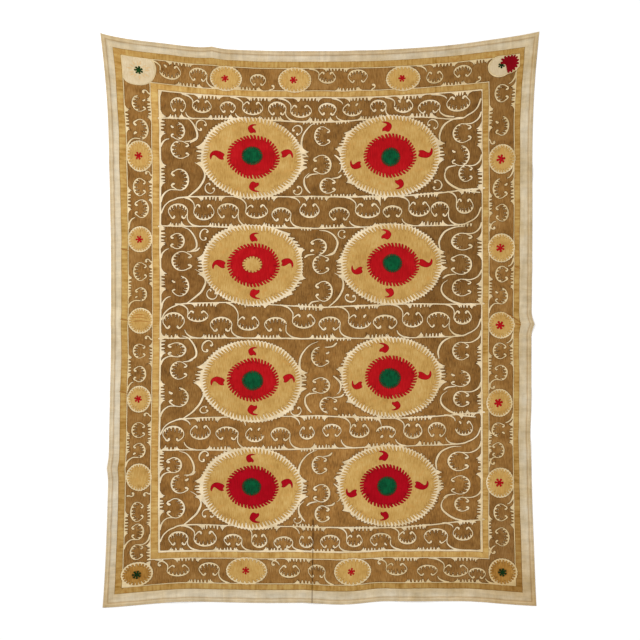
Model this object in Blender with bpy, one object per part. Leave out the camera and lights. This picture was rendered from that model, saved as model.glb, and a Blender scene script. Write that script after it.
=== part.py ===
"""A suzani: four loom-width panels of cream cotton, sewn edge to edge, embroidered, hemmed and laid face up.

Metres, +Z up. The origin is on the surface that it lies on, under the middle of the space it covers.
+Y is the end that is at the top when it is shown face on.
"""

from collections import namedtuple

import bmesh
import bpy

# The cut cloth's four sides: the coordinate that each is measured on (0 for X, 1 for Y), its place at
# mid-side, the way inwards, and then, going in, the plain border, the gold band that edges it, the border of
# scrolls and the gold band that frames the field.
Side = namedtuple("Side", "axis place inward plain outer_band scrolls inner_band")
SIDES = {
    "left": Side(0, -0.835, 1, 0.041, 0.026, 0.100, 0.027),
    "right": Side(0, 0.846, -1, 0.049, 0.022, 0.101, 0.023),
    "top": Side(1, 1.074, -1, 0.043, 0.025, 0.093, 0.023),
    "bottom": Side(1, -1.126, 1, 0.051, 0.023, 0.102, 0.024),
}
LEFT, RIGHT, TOP, BOTTOM = (side.place for side in SIDES.values())

# Thicknesses: bare cotton, cotton under its couched thread, and the folded hem.
COTTON_THICKNESS = 0.0014
EMBROIDERED_THICKNESS = 0.0021
HEM_THICKNESS = 0.0027
HEM_WIDTH = 0.016
STEP_WIDTH = 0.004

# Where the seams between panels meet the bottom and top ends, and the gap that stands for a seam.
Seam = namedtuple("Seam", "bottom top")
SEAMS = (Seam(-0.389, -0.415), Seam(-0.031, -0.001), Seam(0.405, 0.469))
SEAM_GAP = 0.0003

# How the laid cloth is pulled out of square. Each pull pushes a side out, by push at a place along it, fading
# over reach along the side and over depth into the cloth. Blunt is the form: 1 a peak, 2 a soft swell.
Pull = namedtuple("Pull", "side place reach depth push blunt")
PULLS = (
    Pull("left", TOP, 0.66, 0.26, 0.043, 1),
    Pull("left", BOTTOM, 0.65, 0.26, 0.032, 1),
    Pull("left", -0.66, 0.60, 0.40, 0.009, 2),
    Pull("left", -0.593, 0.07, 0.12, 0.006, 1),
    Pull("left", 0.54, 0.28, 0.10, 0.004, 2),
    Pull("right", TOP, 0.50, 0.20, 0.032, 1),
    Pull("right", BOTTOM, 0.45, 0.14, 0.018, 1),
    Pull("right", -0.90, 0.36, 0.14, 0.006, 2),
    Pull("right", -0.018, 0.05, 0.10, 0.012, 1),
    Pull("right", -0.46, 0.12, 0.08, -0.004, 2),
    Pull("right", 0.45, 0.60, 0.30, 0.004, 2),
    Pull("top", LEFT, 0.72, 0.75, 0.073, 0.85),
    Pull("top", RIGHT, 0.82, 0.75, 0.064, 1),
    Pull("top", RIGHT, 0.36, 0.06, 0.014, 1),
    Pull("top", -0.430, 0.07, 0.12, 0.007, 1),
    Pull("bottom", LEFT, 0.34, 0.60, 0.026, 1.5),
    Pull("bottom", RIGHT, 0.29, 0.60, 0.019, 1.5),
    Pull("bottom", -0.18, 0.42, 0.40, 0.007, 2),
    Pull("bottom", 0.097, 0.17, 0.40, 0.011, 2),
)

# Creases left by folding, and the low swells of cloth that doesn't lie dead flat. Each runs from start to end,
# rises by height along its middle and fades to nothing at width on either side and over FADE at both ends.
Crease = namedtuple("Crease", "start end width height")
CROSS_FOLDS = (
    Crease((LEFT, 0.598), (RIGHT, 0.570), 0.042, 0.0040),
    Crease((LEFT, 0.284), (RIGHT, 0.210), 0.036, 0.0026),
    Crease((LEFT, -0.004), (RIGHT, -0.020), 0.048, 0.0055),
    Crease((LEFT, -0.290), (RIGHT, -0.300), 0.036, 0.0026),
    Crease((LEFT, -0.593), (RIGHT, -0.510), 0.044, 0.0045),
)
SWELLS = (
    Crease((-0.545, BOTTOM), (-0.500, -0.700), 0.110, 0.0040),
    Crease((-0.031, BOTTOM), (-0.024, -0.800), 0.050, 0.0035),
    Crease((0.385, BOTTOM), (0.350, -0.620), 0.120, 0.0045),
    Crease((0.150, TOP), (0.120, 0.640), 0.060, 0.0035),
    Crease((-0.640, TOP), (-0.560, 0.700), 0.090, 0.0035),
)
FADE = 0.16

# How far apart the mesh's lines may be across and along the cloth.
COLUMN_STEP = 0.085
ROW_STEP = 0.060

COTTON = ("cream cotton", (0.665, 0.575, 0.398), 0.88)
GOLD_THREAD = ("gold couched thread", (0.584, 0.323, 0.092), 0.72)
BROWN_THREAD = ("brown couched thread", (0.270, 0.136, 0.045), 0.75)


def inset(side, place):
    """How far in from a side a place of the cut cloth is."""
    return (place[side.axis] - side.place) * side.inward


def laid(place):
    """Where a place of the cut cloth lies, seen from above."""
    lies = list(place)
    for pull in PULLS:
        side = SIDES[pull.side]
        along = abs(place[1 - side.axis] - pull.place) / pull.reach
        deep = inset(side, place) / pull.depth
        if along < 1 and deep < 1:
            push = pull.push * (1 - along**pull.blunt) ** 2 * (1 - deep**2) ** 2
            lies[side.axis] -= side.inward * push
    return lies


def lift(place):
    """How high the underside stands off the surface."""
    height = 0.0
    for crease in CROSS_FOLDS + SWELLS:
        run_x, run_y = crease.end[0] - crease.start[0], crease.end[1] - crease.start[1]
        length = (run_x**2 + run_y**2) ** 0.5
        from_x, from_y = place[0] - crease.start[0], place[1] - crease.start[1]
        off = abs(from_x * run_y - from_y * run_x) / length / crease.width
        along = (from_x * run_x + from_y * run_y) / length
        past = max(-along, along - length, 0) / FADE
        if off < 1 and past < 1:
            height += crease.height * (1 - off**2) ** 2 * (1 - past**2) ** 2
    return height


def thickness(place):
    if any(inset(side, place) < HEM_WIDTH + STEP_WIDTH / 2 for side in SIDES.values()):
        return HEM_THICKNESS
    if any(inset(side, place) < side.plain - STEP_WIDTH / 2 for side in SIDES.values()):
        return COTTON_THICKNESS
    return EMBROIDERED_THICKNESS


def band_edges(side):
    """How far in from a side the two gold bands start and end."""
    scrolls = side.plain + side.outer_band
    inner_band = scrolls + side.scrolls
    return side.plain, scrolls, inner_band, inner_band + side.inner_band


def thread_on(place):
    """Which of a panel's materials covers a place: 0 bare cotton, 1 gold thread, 2 brown thread."""
    crossed = min(sum(inset(side, place) > edge for edge in band_edges(side)) for side in SIDES.values())
    return (0, 1, 2, 1, 2)[crossed]


def side_lines(side):
    """The places of the lines that run along a side: its own edge, both edges of each step, and the bands."""
    steps = (0, HEM_WIDTH, HEM_WIDTH + STEP_WIDTH, side.plain - STEP_WIDTH)
    return [(side.place + side.inward * edge,) * 2 for edge in (*steps, *band_edges(side))]


def filled(lines, step):
    """The same lines, as pairs of ends, with evenly spaced ones added wherever two are over a step apart."""
    found = [lines[0]]
    for first, second in zip(lines, lines[1:]):
        count = max(1, round(max(second[0] - first[0], second[1] - first[1]) / step))
        for k in range(1, count + 1):
            found.append(tuple(a + (b - a) * k / count for a, b in zip(first, second)))
    return found


def row_lines():
    """Lines across the cloth from bottom to top, as their heights at the left and right sides."""
    rows = side_lines(SIDES["bottom"]) + side_lines(SIDES["top"])
    for fold in CROSS_FOLDS:
        for share in (-1, -0.5, 0, 0.5, 1):
            rows.append((fold.start[1] + share * fold.width, fold.end[1] + share * fold.width))
    return filled(sorted(rows), ROW_STEP)


def column_lines(number):
    """Lines along a panel from its left edge to its right, as their places at the bottom and top ends."""
    left, right = side_lines(SIDES["left"]), sorted(side_lines(SIDES["right"]))
    if number > 0:
        left = [tuple(end + SEAM_GAP / 2 for end in SEAMS[number - 1])]
    if number < len(SEAMS):
        right = [tuple(end - SEAM_GAP / 2 for end in SEAMS[number])]
    return filled(left + right, COLUMN_STEP)


def crossing(column, row):
    """Where a column line and a row line of the cut cloth cross."""
    up = ((row[0] + row[1]) / 2 - BOTTOM) / (TOP - BOTTOM)
    x = column[0] + (column[1] - column[0]) * up
    return x, row[0] + (row[1] - row[0]) * (x - LEFT) / (RIGHT - LEFT)


def add_panel(number, materials, collection):
    """One loom width: a grid on its lines, extruded to the cloth's thickness and laid with its folds."""
    columns, rows = column_lines(number), row_lines()
    shape = bmesh.new()
    bmesh.ops.create_grid(shape, x_segments=len(columns) - 1, y_segments=len(rows) - 1, size=0.5)
    for vert in shape.verts:
        column = columns[round((vert.co.x + 0.5) * (len(columns) - 1))]
        row = rows[round((vert.co.y + 0.5) * (len(rows) - 1))]
        vert.co = (*crossing(column, row), 0)
    for face in shape.faces:
        face.material_index = thread_on(face.calc_center_median())
    grown = bmesh.ops.extrude_face_region(shape, geom=list(shape.faces), use_keep_orig=True)
    upper = {item for item in grown["geom"] if isinstance(item, bmesh.types.BMVert)}
    for vert in shape.verts:
        place = (vert.co.x, vert.co.y)
        height = lift(place) + (thickness(place) if vert in upper else 0)
        vert.co = (*laid(place), height)
    bmesh.ops.recalc_face_normals(shape, faces=shape.faces)
    mesh = bpy.data.meshes.new(f"panel_{number + 1}")
    shape.to_mesh(mesh)
    shape.free()
    mesh.shade_smooth()
    mesh.set_sharp_from_angle(angle=0.5)
    for material in materials:
        mesh.materials.append(material)
    collection.objects.link(bpy.data.objects.new(mesh.name, mesh))


def matte(name, colour, roughness):
    material = bpy.data.materials.new(name)
    material.use_nodes = True
    material.diffuse_color = (*colour, 1)
    shader = material.node_tree.nodes["Principled BSDF"]
    shader.inputs["Base Color"].default_value = (*colour, 1)
    shader.inputs["Roughness"].default_value = roughness
    shader.inputs["Metallic"].default_value = 0
    return material


for thing in list(bpy.data.objects):
    bpy.data.objects.remove(thing, do_unlink=True)
textile = bpy.data.collections.new("suzani_textile")
bpy.context.scene.collection.children.link(textile)
finishes = [matte(*finish) for finish in (COTTON, GOLD_THREAD, BROWN_THREAD)]
for panel in range(len(SEAMS) + 1):
    add_panel(panel, finishes, textile)
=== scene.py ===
import math
import random
from collections import namedtuple

import bpy
import numpy as np
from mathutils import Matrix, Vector, noise
from mathutils.geometry import delaunay_2d_cdt


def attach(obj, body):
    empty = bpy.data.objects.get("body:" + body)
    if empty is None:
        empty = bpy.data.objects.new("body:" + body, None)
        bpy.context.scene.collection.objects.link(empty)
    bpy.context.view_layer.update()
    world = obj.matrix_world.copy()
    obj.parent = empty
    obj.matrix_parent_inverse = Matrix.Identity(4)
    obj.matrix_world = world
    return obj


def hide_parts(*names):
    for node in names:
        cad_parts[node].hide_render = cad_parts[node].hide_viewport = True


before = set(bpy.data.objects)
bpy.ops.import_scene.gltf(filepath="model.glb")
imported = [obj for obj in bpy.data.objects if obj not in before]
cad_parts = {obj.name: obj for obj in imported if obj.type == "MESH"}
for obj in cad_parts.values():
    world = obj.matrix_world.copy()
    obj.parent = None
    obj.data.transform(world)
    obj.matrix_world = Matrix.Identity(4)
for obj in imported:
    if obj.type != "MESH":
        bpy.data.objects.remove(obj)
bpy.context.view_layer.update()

# --- The cotton ground ----------------------------------------------------------------------------------
# Four loom widths of handwoven cream cotton, about 1.4 mm thick. They are sewn edge to edge
# by hand, turned under in a narrow hem on all four sides, and laid on the floor, where the
# cloth keeps the creases of its folding and is pulled out of square at its corners.

# The cut cloth's sides: the coordinate that each is measured on (0 across,
# 1 up), its place, the way inwards, and, going in, the plain border, the
# outer gold band, the border of scrolls and the inner gold band, in metres.
Side = namedtuple("Side", "axis place inward plain outer_band scrolls inner_band")
SIDES = {
    "left": Side(0, -0.835, 1, 0.041, 0.026, 0.100, 0.027),
    "right": Side(0, 0.846, -1, 0.049, 0.022, 0.101, 0.023),
    "top": Side(1, 1.074, -1, 0.043, 0.025, 0.093, 0.023),
    "bottom": Side(1, -1.126, 1, 0.051, 0.023, 0.102, 0.024),
}
LEFT, RIGHT, TOP, BOTTOM = (side.place for side in SIDES.values())

# Where the seams between the loom widths meet the bottom and top ends.
Seam = namedtuple("Seam", "bottom top")
SEAMS = (Seam(-0.389, -0.415), Seam(-0.031, -0.001), Seam(0.405, 0.469))
SEAM_GAP = 0.0003

# How the laid cloth is pulled out of square: each pull pushes a side
# out, by push at a place along it, fading over reach along the side and
# over depth into the cloth. Blunt is the form: 1 a peak, 2 a soft swell.
Pull = namedtuple("Pull", "side place reach depth push blunt")
PULLS = (
    Pull("left", TOP, 0.66, 0.26, 0.043, 1),
    Pull("left", BOTTOM, 0.65, 0.26, 0.032, 1),
    Pull("left", -0.66, 0.60, 0.40, 0.009, 2),
    Pull("left", -0.593, 0.07, 0.12, 0.006, 1),
    Pull("left", 0.54, 0.28, 0.10, 0.004, 2),
    Pull("right", TOP, 0.50, 0.20, 0.032, 1),
    Pull("right", BOTTOM, 0.45, 0.14, 0.018, 1),
    Pull("right", -0.90, 0.36, 0.14, 0.006, 2),
    Pull("right", -0.018, 0.05, 0.10, 0.012, 1),
    Pull("right", -0.46, 0.12, 0.08, -0.004, 2),
    Pull("right", 0.45, 0.60, 0.30, 0.004, 2),
    Pull("top", LEFT, 0.72, 0.75, 0.073, 0.85),
    Pull("top", RIGHT, 0.82, 0.75, 0.064, 1),
    Pull("top", RIGHT, 0.36, 0.06, 0.014, 1),
    Pull("top", -0.430, 0.07, 0.12, 0.007, 1),
    Pull("bottom", LEFT, 0.34, 0.60, 0.026, 1.5),
    Pull("bottom", RIGHT, 0.29, 0.60, 0.019, 1.5),
    Pull("bottom", -0.18, 0.42, 0.40, 0.007, 2),
    Pull("bottom", 0.097, 0.17, 0.40, 0.011, 2),
)

# Creases and low swells: each runs from start to end, rises by height along its
# middle, fades to nothing at width on either side, and past its ends over fade.
Crease = namedtuple("Crease", "start end width height fade", defaults=(0.16,))
CROSS_FOLDS = (
    Crease((LEFT, 0.598), (RIGHT, 0.570), 0.042, 0.0040),
    Crease((LEFT, 0.284), (RIGHT, 0.210), 0.036, 0.0026),
    Crease((LEFT, -0.004), (RIGHT, -0.020), 0.048, 0.0055),
    Crease((LEFT, -0.290), (RIGHT, -0.300), 0.036, 0.0026),
    Crease((LEFT, -0.593), (RIGHT, -0.510), 0.044, 0.0045),
)
SWELLS = (
    Crease((-0.545, BOTTOM), (-0.500, -0.700), 0.110, 0.0040),
    Crease((-0.031, BOTTOM), (-0.024, -0.800), 0.050, 0.0035),
    Crease((0.385, BOTTOM), (0.350, -0.620), 0.120, 0.0045),
    Crease((0.150, TOP), (0.120, 0.640), 0.060, 0.0035),
    Crease((-0.640, TOP), (-0.560, 0.700), 0.090, 0.0035),
)
# The sharp line pressed into the middle of each fold, and the small wrinkles of the plain border.
PRESSED = [fold._replace(width=0.007, height=-0.0008, fade=0.02) for fold in CROSS_FOLDS]
WRINKLES = (
    Crease((0.148, TOP), (0.130, 0.960), 0.012, 0.0010, 0.03),
    Crease((-0.430, TOP), (-0.400, 0.930), 0.014, 0.0011, 0.03),
    Crease((-0.700, TOP), (-0.790, 0.900), 0.016, 0.0010, 0.05),
    Crease((0.560, TOP), (0.700, 1.040), 0.014, 0.0009, 0.05),
    Crease((0.500, BOTTOM), (0.510, -0.960), 0.011, 0.0009, 0.03),
    Crease((-0.540, BOTTOM), (-0.600, -1.050), 0.015, 0.0010, 0.05),
    Crease((-0.200, BOTTOM), (-0.320, -1.070), 0.014, 0.0008, 0.05),
    Crease((RIGHT, 0.000), (0.760, -0.060), 0.014, 0.0010, 0.03),
    Crease((RIGHT, -0.120), (0.780, -0.280), 0.016, 0.0009, 0.05),
    Crease((LEFT, -0.620), (-0.740, -0.580), 0.012, 0.0010, 0.03),
    Crease((LEFT, 0.420), (-0.800, 0.150), 0.014, 0.0007, 0.06),
)

COTTON = 0.0014         # thickness of the bare cloth
HEM = 0.0027            # thickness of the folded hem
HEM_WIDTH = 0.016
HEM_FOLD = 0.0016       # how far in the hem's rounded edge reaches
FURROW = 0.0006         # how deep a seam's stitches draw the face down
FURROW_WIDTH = 0.0045   # how far from the seam they reach
MESH_STEP = 0.014       # the farthest apart that the mesh's lines may be
SHARP = 0.9             # the angle from which an edge is shaded sharp, in radians


def inset(side, places):
    """How far in from a side the places of the cut cloth are."""
    return (places[:, side.axis] - side.place) * side.inward


def edge_distance(places):
    return np.min([inset(side, places) for side in SIDES.values()], axis=0)


def laid(places):
    """Where places of the cut cloth lie, seen from above."""
    lies = places.copy()
    for pull in PULLS:
        side = SIDES[pull.side]
        along = np.abs(places[:, 1 - side.axis] - pull.place) / pull.reach
        deep = np.abs(inset(side, places)) / pull.depth
        along, deep = np.minimum(along, 1), np.minimum(deep, 1)
        lies[:, side.axis] -= side.inward * pull.push * (1 - along**pull.blunt) ** 2 * (1 - deep**2) ** 2
    return lies


def crease_rise(creases, places):
    rise = np.zeros(len(places))
    for crease in creases:
        run = np.subtract(crease.end, crease.start)
        length = math.hypot(*run)
        across = places - crease.start
        off = np.abs(across[:, 0] * run[1] - across[:, 1] * run[0]) / length / crease.width
        along = across @ run / length
        past = np.maximum(np.maximum(-along, along - length), 0) / crease.fade
        off, past = np.minimum(off, 1), np.minimum(past, 1)
        rise += crease.height * (1 - off**2) ** 2 * (1 - past**2) ** 2
    return rise


def lift(places):
    """How high the cloth's underside stands off the floor."""
    uneven = np.array([1 + 0.5 * noise.noise((5 * u, 5 * v, 3)) for u, v in places])
    small = crease_rise(PRESSED, places) + crease_rise(WRINKLES, places) * uneven
    return np.maximum(crease_rise(CROSS_FOLDS + SWELLS, places) + small, 0)


def off_seam(seam, places):
    """How far places are from a seam."""
    up = (places[:, 1] - BOTTOM) / (TOP - BOTTOM)
    return np.abs(places[:, 0] - seam.bottom - (seam.top - seam.bottom) * up)


def seam_gap_shadow(places):
    """The painted shadow in the middle seam, where it gapes a little near the bottom end: 1 at the seam, 0
    elsewhere.
    """
    return ((off_seam(SEAMS[1], places) < 0.002) & (places[:, 1] < -0.80)).astype(np.float32)


def furrow(places):
    """How far the stitches of a seam pull the face of the cloth down."""
    nearest = np.min([off_seam(seam, places) for seam in SEAMS], axis=0)
    return FURROW * (1 - np.minimum(nearest / FURROW_WIDTH, 1) ** 2) ** 2


def between(lines, step):
    """The same lines, as pairs of ends, with even ones added wherever two are more than a step apart."""
    found = [lines[0]]
    for first, second in zip(lines, lines[1:]):
        count = max(1, math.ceil(max(second[0] - first[0], second[1] - first[1]) / step - 0.01))
        for k in range(1, count + 1):
            found.append(tuple(a + (b - a) * k / count for a, b in zip(first, second)))
    return found


def hem_lines(side):
    steps = (0, HEM_FOLD / 2, HEM_FOLD, HEM_WIDTH, HEM_WIDTH + 0.0015)
    return [(side.place + side.inward * step,) * 2 for step in steps]


def row_lines():
    """Lines across the cloth from bottom to top, as their heights at the left and right sides."""
    rows = hem_lines(SIDES["bottom"]) + hem_lines(SIDES["top"])
    for fold in CROSS_FOLDS:
        rows += [(fold.start[1] + off, fold.end[1] + off) for off in (-0.008, -0.004, 0, 0.004, 0.008)]
    return between(sorted(rows), MESH_STEP)


def column_lines(number):
    """Lines up a loom width, from its left edge to its right, as their places at the bottom and top."""
    left, right = hem_lines(SIDES["left"]), sorted(hem_lines(SIDES["right"]))
    if number > 0:
        left = [tuple(end + SEAM_GAP / 2 + off for end in SEAMS[number - 1]) for off in (0, 0.004)]
    if number < len(SEAMS):
        right = [tuple(end - SEAM_GAP / 2 - off for end in SEAMS[number]) for off in (0.004, 0)]
    return between(left + right, MESH_STEP)


def crossing(column, row):
    """Where a column line and a row line of the cut cloth cross."""
    up = ((row[0] + row[1]) / 2 - BOTTOM) / (TOP - BOTTOM)
    x = column[0] + (column[1] - column[0]) * up
    return x, row[0] + (row[1] - row[0]) * (x - LEFT) / (RIGHT - LEFT)


def mesh_object(name, points, faces, cut_places):
    """A new object with a UV map, in metres, that says where each corner is on the cut cloth."""
    mesh = bpy.data.meshes.new(name)
    mesh.from_pydata(points, [], faces)
    corners = np.empty(len(mesh.loops), np.int32)
    mesh.loops.foreach_get("vertex_index", corners)
    mesh.uv_layers.new(name="cut").data.foreach_set("uv", cut_places[corners].astype(np.float32).ravel())
    mesh.shade_smooth()
    thing = bpy.data.objects.new(name, mesh)
    bpy.context.scene.collection.objects.link(thing)
    return thing


def add_loom_width(number):
    columns, rows = column_lines(number), row_lines()
    wide, long = len(columns), len(rows)
    places = np.array([crossing(column, row) for row in rows for column in columns])
    edge = edge_distance(places)
    folded = np.clip(edge / HEM_FOLD, 0, 1)
    roundness = np.sqrt(1 - (1 - folded) ** 2)
    hemmed = edge < HEM_WIDTH + 0.0005
    under = lift(places)
    thick = np.where(hemmed, HEM * (0.55 + 0.45 * roundness), COTTON) - furrow(places)
    bottom = under + np.where(hemmed, HEM * 0.3 * (1 - roundness), 0)
    flat = laid(places)
    points = np.vstack([np.column_stack([flat, under + thick]), np.column_stack([flat, bottom])])
    faces = []
    for j in range(long - 1):
        for i in range(wide - 1):
            a, b, c, d = (j * wide + i, j * wide + i + 1, (j + 1) * wide + i + 1, (j + 1) * wide + i)
            faces += [(a, b, c, d), tuple(corner + wide * long for corner in (d, c, b, a))]
    rim = list(range(wide - 1)) + [j * wide + wide - 1 for j in range(long - 1)]
    rim += [(long - 1) * wide + i for i in range(wide - 1, 0, -1)]
    rim += [j * wide for j in range(long - 1, 0, -1)]
    for a, b in zip(rim, rim[1:] + rim[:1]):
        faces.append((a, a + wide * long, b + wide * long, b))
    panel = mesh_object(f"loom_width_{number + 1}", points, faces, np.vstack([places, places]))
    # The painted shadow in the gap of the middle seam, for the cotton's colour.
    gap = panel.data.attributes.new("seam_gap_shadow", "FLOAT", "POINT")
    gap.data.foreach_set("value", np.tile(seam_gap_shadow(places), 2))
    panel.data.set_sharp_from_angle(angle=SHARP)
    return panel


def linear(code):
    """An sRGB hex colour as the linear RGBA that shaders take."""
    levels = [int(code[k : k + 2], 16) / 255 for k in (1, 3, 5)]
    return tuple(x / 12.92 if x <= 0.04045 else ((x + 0.055) / 1.055) ** 2.4 for x in levels) + (1,)


def add_node(material, kind, inputs, output=0, stops=(), **settings):
    """Adds one node: its settings, a ramp's stops, and its inputs, each a value or a socket to link."""
    node = material.node_tree.nodes.new("ShaderNode" + kind)
    for name, value in settings.items():
        setattr(node, name, value)
    while stops and len(node.color_ramp.elements) < len(stops):
        node.color_ramp.elements.new(0.5)
    for k, (place, code) in enumerate(stops):
        node.color_ramp.elements[k].position = place
        node.color_ramp.elements[k].color = linear(code)
    for name, value in inputs.items():
        if isinstance(value, bpy.types.NodeSocket):
            material.node_tree.links.new(value, node.inputs[name])
        else:
            node.inputs[name].default_value = value
    return node.outputs[output]


def new_finish(name, roughness, sheen=0.0):
    material = bpy.data.materials.new(name)
    material.use_nodes = True
    shader = material.node_tree.nodes["Principled BSDF"]
    shader.inputs["Roughness"].default_value = roughness
    shader.inputs["Sheen Weight"].default_value = sheen
    shader.inputs["Specular IOR Level"].default_value = 0.06
    return material, shader


def stained_and_shaded(material, place, colour, u, v, reach, stain_and_shade):
    """A colour times a tint that fades out at that reach from its middle: a soiled or yellowed place, and
    some painted shade. Over 1 lightens it, for a faded place and for painted light.
    """
    off = add_node(material, "VectorMath", {0: place, 1: (u, v, 0)}, output="Value", operation="DISTANCE")
    near = {"Value": off, "From Max": reach, "To Min": 1.0, "To Max": 0.0}
    near = add_node(material, "MapRange", near, interpolation_type="SMOOTHSTEP")
    mixed = {0: near, 6: colour, 7: (*stain_and_shade, 1)}
    return add_node(material, "Mix", mixed, output=2, data_type="RGBA", blend_type="MULTIPLY")


# Handwoven cotton, plain weave, washed and unbleached. The eye gets a warm matte cream with thicker
# slubs in both directions: tanned along the hem's fold and its sewn edge, grey in the plain border,
# clean in the design. The real threads are about 0.5 mm apart, drawn here three times as coarse.
# Its colour also holds painted shade: darker towards the right side, as if lit from the left, a little
# darker over the upper end, and the shadows of its wrinkles.
cotton, shader = new_finish("handwoven_cotton", 0.88, 0.02)
cut = add_node(cotton, "UVMap", {}, uv_map="cut")
slubs = []
for stretch in ((640, 26, 1), (22, 560, 1)):
    stretched = add_node(cotton, "Mapping", {"Vector": cut, "Scale": stretch})
    slubs.append(add_node(cotton, "TexNoise", {"Vector": stretched, "Scale": 1.0, "Detail": 2.0}))
both = add_node(cotton, "Math", {0: slubs[0], 1: slubs[1]}, operation="ADD")
along_cut = add_node(cotton, "SeparateXYZ", {"Vector": cut}).node.outputs
nearest = 1.0
for side in SIDES.values():
    off = {0: along_cut[side.axis], 1: side.inward, 2: -side.inward * side.place}
    off = add_node(cotton, "Math", off, operation="MULTIPLY_ADD")
    nearest = add_node(cotton, "Math", {0: off, 1: nearest}, operation="MINIMUM")
wander = add_node(cotton, "TexNoise", {"Vector": cut, "Scale": 24.0, "Detail": 3.0})
wandering = add_node(cotton, "Math", {0: wander, 1: 0.005, 2: nearest}, operation="MULTIPLY_ADD")
inwards = add_node(cotton, "MapRange", {"Value": wandering, "From Max": 0.22})
ground = add_node(cotton, "ValToRGB", {"Fac": inwards}, stops=(
    (0.010, "#BDA384"), (0.020, "#E0D0B2"), (0.041, "#D4C2A2"), (0.058, "#E3D5BA"),
    (0.080, "#D9C7A8"), (0.089, "#BFA686"), (0.099, "#D8CBB2"), (0.123, "#E2D8C4"),
    (0.211, "#DED1B8"), (0.290, "#EDDCB6"), (0.75, "#ECDAB6"), (0.86, "#F6E7CA"),
))
soil = add_node(cotton, "TexNoise", {"Vector": cut, "Scale": 9.0, "Detail": 6.0, "Roughness": 0.66})
# Mottled soil, plus a painted shade that darkens the cloth evenly towards the right side.
soil_and_side_shade = add_node(cotton, "Math", {0: along_cut["X"], 1: -0.08, 2: soil}, operation="MULTIPLY_ADD")
soil_and_shade_tone = ((0.28, "#E0D2B6"), (0.50, "#F4ECDD"), (0.72, "#FFFDF8"))
soil_and_shade_tone = add_node(cotton, "ValToRGB", {"Fac": soil_and_side_shade}, stops=soil_and_shade_tone)
thread_tone = {"Value": both, "From Min": 0.6, "From Max": 1.4, "To Min": 0.86, "To Max": 1.10}
rumpled = []
for lean, stretch in ((35, (46, 11, 1)), (-40, (12, 52, 1))):
    slanted = {"Vector": cut, "Rotation": (0, 0, math.radians(lean)), "Scale": stretch}
    slanted = add_node(cotton, "Mapping", slanted)
    rumpled.append(add_node(cotton, "TexNoise", {"Vector": slanted, "Scale": 1.0, "Detail": 3.0}))
rumples = add_node(cotton, "Math", {0: rumpled[0], 1: rumpled[1]}, operation="ADD")
shadows = {"Value": rumples, "From Min": 0.75, "From Max": 1.25, "To Min": 0.87, "To Max": 1.10}
tinted = add_node(cotton, "VectorMath", {0: ground, 1: soil_and_shade_tone}, operation="MULTIPLY")
for shade in (thread_tone, shadows):
    shade = add_node(cotton, "MapRange", shade)
    tinted = add_node(cotton, "VectorMath", {0: tinted, 1: shade}, operation="MULTIPLY")
# The corners are yellowed, and the whole upper end is darkened a little, a painted shade against the key
# light
# that falls brightest there: each place, its reach in metres, and its tint as what it leaves of red, green
# and blue light.
YELLOWING_AND_SHADE = (
    (-0.88, 1.16, 0.80, (0.86, 0.83, 0.76)), (0.88, 1.15, 0.32, (0.93, 0.88, 0.76)),
    (-0.87, -1.15, 0.40, (0.96, 0.90, 0.80)), (0.85, -1.13, 0.45, (0.93, 0.86, 0.76)),
    # The first area on the next line is the painted shade of the upper end.
    (0.00, 1.16, 0.95, (0.94, 0.91, 0.88)), (-0.85, 0.10, 0.30, (0.94, 0.90, 0.80)),
    (-0.50, 0.22, 0.30, (0.96, 0.95, 0.95)),
)
for stain_and_shade in YELLOWING_AND_SHADE:
    tinted = stained_and_shaded(cotton, cut, tinted, *stain_and_shade)
# Painted shadow: a dark brown mixed in along the gap in the middle seam.
seam_shadow_mask = add_node(cotton, "Attribute", {}, output="Fac", attribute_name="seam_gap_shadow")
seam_shadow = add_node(cotton, "MapRange", {"Value": seam_shadow_mask, "To Max": 0.72})
shown = add_node(cotton, "Mix", {0: seam_shadow, 6: tinted, 7: linear("#5E452A")}, output=2, data_type="RGBA")
cotton.node_tree.links.new(shown, shader.inputs["Base Color"])
weave = add_node(cotton, "Bump", {"Height": both, "Strength": 0.35, "Distance": 0.0006})
wrinkles = {"Height": rumples, "Strength": 0.6, "Distance": 0.008, "Normal": weave}
wrinkles = add_node(cotton, "Bump", wrinkles)
cotton.node_tree.links.new(wrinkles, shader.inputs["Normal"])

loom_widths = [add_loom_width(number) for number in range(len(SEAMS) + 1)]
for number, panel in enumerate(loom_widths):
    panel.data.materials.append(cotton)
    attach(panel, "root")
    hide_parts(f"panel_{number + 1}")

# --- The drawn design -----------------------------------------------------------------------------------
# The drawer marks the whole design on the cotton before it is stitched: two gold bands, five rows
# of toothed scrolls, eight large rosettes, and a border of scrolls and small rosettes. It is
# drawn by hand, so no two scrolls are alike, and its cream lines are cotton that is left bare.

drawn = []  # the outlines in the order they are laid down, each as its thread and its closed line of points
hand = random.Random(41)
# Blender would otherwise start its vector noise, which the hand's sway is read from, at the clock's time.
SWAY = 1795536437
noise.seed_set(SWAY)


def outline(thread, points):
    drawn.append((thread, np.array(points, float)))


def drift(places):
    """The drawer's unsteady hand: a slow sway of 2 mm and a quick one of 0.7 mm."""
    swayed = places.copy()
    for k, (u, v) in enumerate(places):
        slow, quick = noise.noise_vector((u * 9, v * 9, 0)), noise.noise_vector((u * 45, v * 45, 7))
        swayed[k] += (slow.x * 0.002 + quick.x * 0.0007, slow.y * 0.002 + quick.y * 0.0007)
    return swayed


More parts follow.
